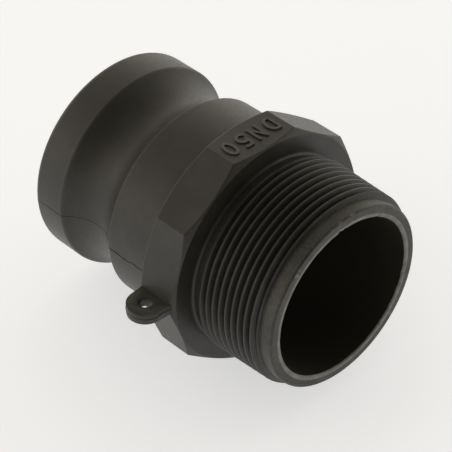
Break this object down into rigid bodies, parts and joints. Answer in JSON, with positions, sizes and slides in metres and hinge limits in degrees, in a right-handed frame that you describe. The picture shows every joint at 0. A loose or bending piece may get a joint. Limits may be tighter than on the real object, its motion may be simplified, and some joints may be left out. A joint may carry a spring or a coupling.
{
  "type": "camlock adapter",
  "caption": "Moulded plastic cam-and-groove adapter: a grooved male head that a camlock coupler clips onto, a ten-sided wrench section and a tapered male pipe thread.",
  "frame": {"origin": "centre of the nose's gasket face, on the flow bore's axis", "axes": "+X along the flow bore, from the nose towards the male thread; +Z is the normal of the flat with the size mark; the tether lug points to -Y"},
  "size_m": [0.091, 0.0821, 0.0704],
  "materials": {
    "black_polypropylene": "satin, glass-filled, as moulded"
  },
  "bodies": {
    "root": {"cam_head": "black_polypropylene", "cam_groove": "black_polypropylene", "guide_collar": "black_polypropylene", "wrench_decagon": "black_polypropylene", "size_mark": "black_polypropylene", "tether_lug": "black_polypropylene", "thread_neck": "black_polypropylene", "pipe_thread": "black_polypropylene", "lead_in_rim": "black_polypropylene", "parting_flash": "black_polypropylene"}
  },
  "joints": []
}
